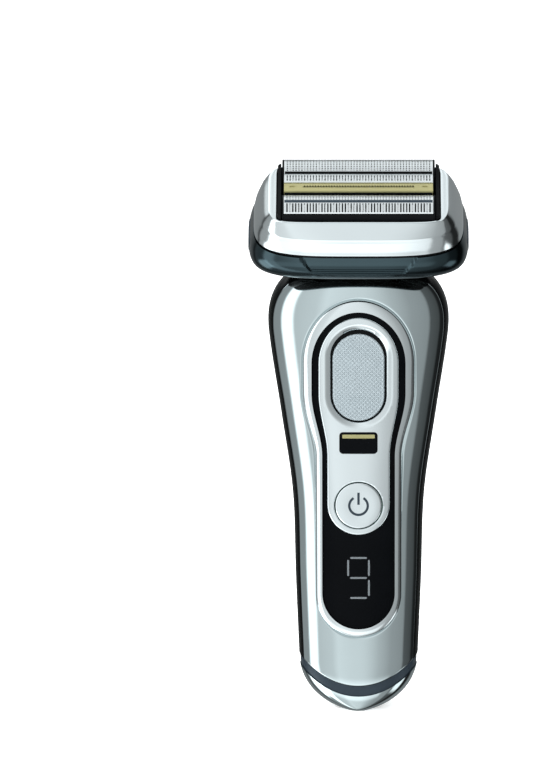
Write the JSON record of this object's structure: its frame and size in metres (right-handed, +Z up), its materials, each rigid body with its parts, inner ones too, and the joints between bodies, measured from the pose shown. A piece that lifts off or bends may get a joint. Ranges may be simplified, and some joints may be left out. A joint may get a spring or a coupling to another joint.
{
  "type": "electric shaver",
  "caption": "Cordless foil shaver with a tilting head, a lift-off cutting cassette with floating foils and centre trimmers, a tilt lock and a rear trimmer.",
  "frame": {"origin": "centre of the mouth of the power inlet in the lower tip of the handle", "axes": "+Z up along the handle to the head, the control side faces -Y, +X to the right of someone looking at the controls"},
  "size_m": [0.0656, 0.0454, 0.1665],
  "materials": {
    "chrome_shell": "polished",
    "satin_silver": "satin",
    "pearl_silver": "satin",
    "dark_shell": "gloss",
    "soft_rubber": "matte",
    "slate_band": "satin",
    "clear_black": "polished",
    "blue_grey_pad": "textured",
    "black_plastic": "matte",
    "grey_plastic": "matte",
    "bare_steel": "satin",
    "foil_steel": "fine",
    "gold_coating": "satin",
    "contact_brass": "polished",
    "circuit_board": "satin",
    "cell_sleeve": "gloss",
    "coil_copper": "enamelled",
    "iron_core": "laminated"
  },
  "bodies": {
    "handle": {"front_cover": "chrome_shell", "rear_cover": "dark_shell", "rear_grip": "soft_rubber", "bottom_band": "slate_band", "bottom_cap": "chrome_shell", "control_rim": "pearl_silver", "display_window": "clear_black", "control_panel": "pearl_silver", "lock_window": "clear_black", "display_module": "black_plastic", "main_board": "circuit_board", "power_switch": "black_plastic", "battery_cell": "cell_sleeve", "battery_tabs": "bare_steel", "chassis": "grey_plastic", "pivot_pins": "bare_steel", "body_seal": "soft_rubber", "neck_seal": "soft_rubber", "power_socket": "black_plastic", "socket_pins": "contact_brass", "charge_contacts": "contact_brass", "case_screws": "bare_steel"},
    "tilt_lock": {"lock_slider": "blue_grey_pad"},
    "power_button": {"power_button": "chrome_shell"},
    "trimmer": {"trimmer_carrier": "dark_shell", "trimmer_comb": "bare_steel"},
    "trimmer_catch": {"trimmer_button": "grey_plastic"},
    "trimmer_cutter": {"trimmer_blade": "bare_steel"},
    "head": {"head_base": "satin_silver", "head_deck": "black_plastic", "lock_rack": "bare_steel", "pivot_bushes": "contact_brass", "motor_core": "iron_core", "motor_coil": "coil_copper", "motor_springs": "bare_steel", "release_springs": "bare_steel", "head_screws": "bare_steel"},
    "front_drive": {"front_armature": "iron_core"},
    "rear_drive": {"rear_armature": "iron_core"},
    "left_release": {"release_button_left": "slate_band"},
    "right_release": {"release_button_right": "slate_band"},
    "cassette": {"cassette_frame": "pearl_silver", "cassette_carrier": "black_plastic", "float_springs": "bare_steel"},
    "front_shaving_foil": {"front_foil": "foil_steel", "front_foil_holder": "black_plastic"},
    "rear_shaving_foil": {"rear_foil": "foil_steel", "rear_foil_holder": "black_plastic"},
    "gold_trimmer": {"gold_guard": "gold_coating"},
    "comb_trimmer": {"comb_guard": "foil_steel"},
    "front_cutter_block": {"front_cutter": "bare_steel"},
    "rear_cutter_block": {"rear_cutter": "bare_steel"},
    "gold_trimmer_blade": {"gold_blade": "bare_steel"},
    "comb_trimmer_blade": {"comb_blade": "bare_steel"}
  },
  "joints": [
    {"name": "head_tilt", "type": "hinge", "parent": "handle", "child": "head", "pos_m": [0, -0.00643, 0.14524], "axis": [1, 0, 0], "range_deg": [-24, 16], "stiffness_Nm_per_rad": 0.12},
    {"name": "tilt_lock_slide", "type": "slide", "parent": "handle", "child": "tilt_lock", "axis": [0, 0, 1], "range_m": [0, 0.0016]},
    {"name": "power_button_press", "type": "slide", "parent": "handle", "child": "power_button", "axis": [0, 1, 0], "range_m": [0, 0.0006], "stiffness_N_per_m": 1200, "springref_m": -0.0006},
    {"name": "trimmer_lift", "type": "slide", "parent": "handle", "child": "trimmer", "axis": [0, 0, 1], "range_m": [0, 0.013]},
    {"name": "trimmer_catch_press", "type": "slide", "parent": "trimmer", "child": "trimmer_catch", "axis": [0, -1, 0], "range_m": [0, 0.0008], "stiffness_N_per_m": 800, "springref_m": -0.0006},
    {"name": "trimmer_stroke", "type": "slide", "parent": "trimmer", "child": "trimmer_cutter", "axis": [1, 0, 0], "range_m": [-0.0008, 0.0008], "stiffness_N_per_m": 300},
    {"name": "front_drive_stroke", "type": "slide", "parent": "head", "child": "front_drive", "axis": [1, 0, 0], "range_m": [-0.0012, 0.0012], "stiffness_N_per_m": 600},
    {"name": "rear_drive_stroke", "type": "slide", "parent": "head", "child": "rear_drive", "axis": [1, 0, 0], "range_m": [-0.0012, 0.0012]},
    {"name": "left_release_press", "type": "slide", "parent": "head", "child": "left_release", "axis": [1, 0, 0], "range_m": [0, 0.0015], "stiffness_N_per_m": 800, "springref_m": -0.0008},
    {"name": "right_release_press", "type": "slide", "parent": "head", "child": "right_release", "axis": [-1, 0, 0], "range_m": [0, 0.0015], "stiffness_N_per_m": 800, "springref_m": -0.0008},
    {"name": "cassette_lift", "type": "slide", "parent": "head", "child": "cassette", "axis": [0, -0.454, 0.891], "range_m": [0, 0.03]},
    {"name": "front_foil_float", "type": "slide", "parent": "cassette", "child": "front_shaving_foil", "axis": [0, 0.454, -0.891], "range_m": [0, 0.0016], "stiffness_N_per_m": 400, "springref_m": -0.001},
    {"name": "rear_foil_float", "type": "slide", "parent": "cassette", "child": "rear_shaving_foil", "axis": [0, 0.454, -0.891], "range_m": [0, 0.0016], "stiffness_N_per_m": 400, "springref_m": -0.001},
    {"name": "gold_trimmer_float", "type": "slide", "parent": "cassette", "child": "gold_trimmer", "axis": [0, 0.454, -0.891], "range_m": [0, 0.0016], "stiffness_N_per_m": 400, "springref_m": -0.001},
    {"name": "comb_trimmer_float", "type": "slide", "parent": "cassette", "child": "comb_trimmer", "axis": [0, 0.454, -0.891], "range_m": [0, 0.0016], "stiffness_N_per_m": 400, "springref_m": -0.001},
    {"name": "front_cutter_stroke", "type": "slide", "parent": "front_shaving_foil", "child": "front_cutter_block", "axis": [1, 0, 0], "range_m": [-0.0012, 0.0012]},
    {"name": "rear_cutter_stroke", "type": "slide", "parent": "rear_shaving_foil", "child": "rear_cutter_block", "axis": [1, 0, 0], "range_m": [-0.0012, 0.0012]},
    {"name": "gold_blade_stroke", "type": "slide", "parent": "gold_trimmer", "child": "gold_trimmer_blade", "axis": [1, 0, 0], "range_m": [-0.0012, 0.0012]},
    {"name": "comb_blade_stroke", "type": "slide", "parent": "comb_trimmer", "child": "comb_trimmer_blade", "axis": [1, 0, 0], "range_m": [-0.0012, 0.0012]}
  ],
  "couplings": [
    {"joint": "rear_drive_stroke", "follows": "front_drive_stroke", "ratio": -1},
    {"joint": "front_cutter_stroke", "follows": "front_drive_stroke", "ratio": 1},
    {"joint": "rear_cutter_stroke", "follows": "front_drive_stroke", "ratio": -1},
    {"joint": "gold_blade_stroke", "follows": "front_drive_stroke", "ratio": 1},
    {"joint": "comb_blade_stroke", "follows": "front_drive_stroke", "ratio": -1}
  ]
}
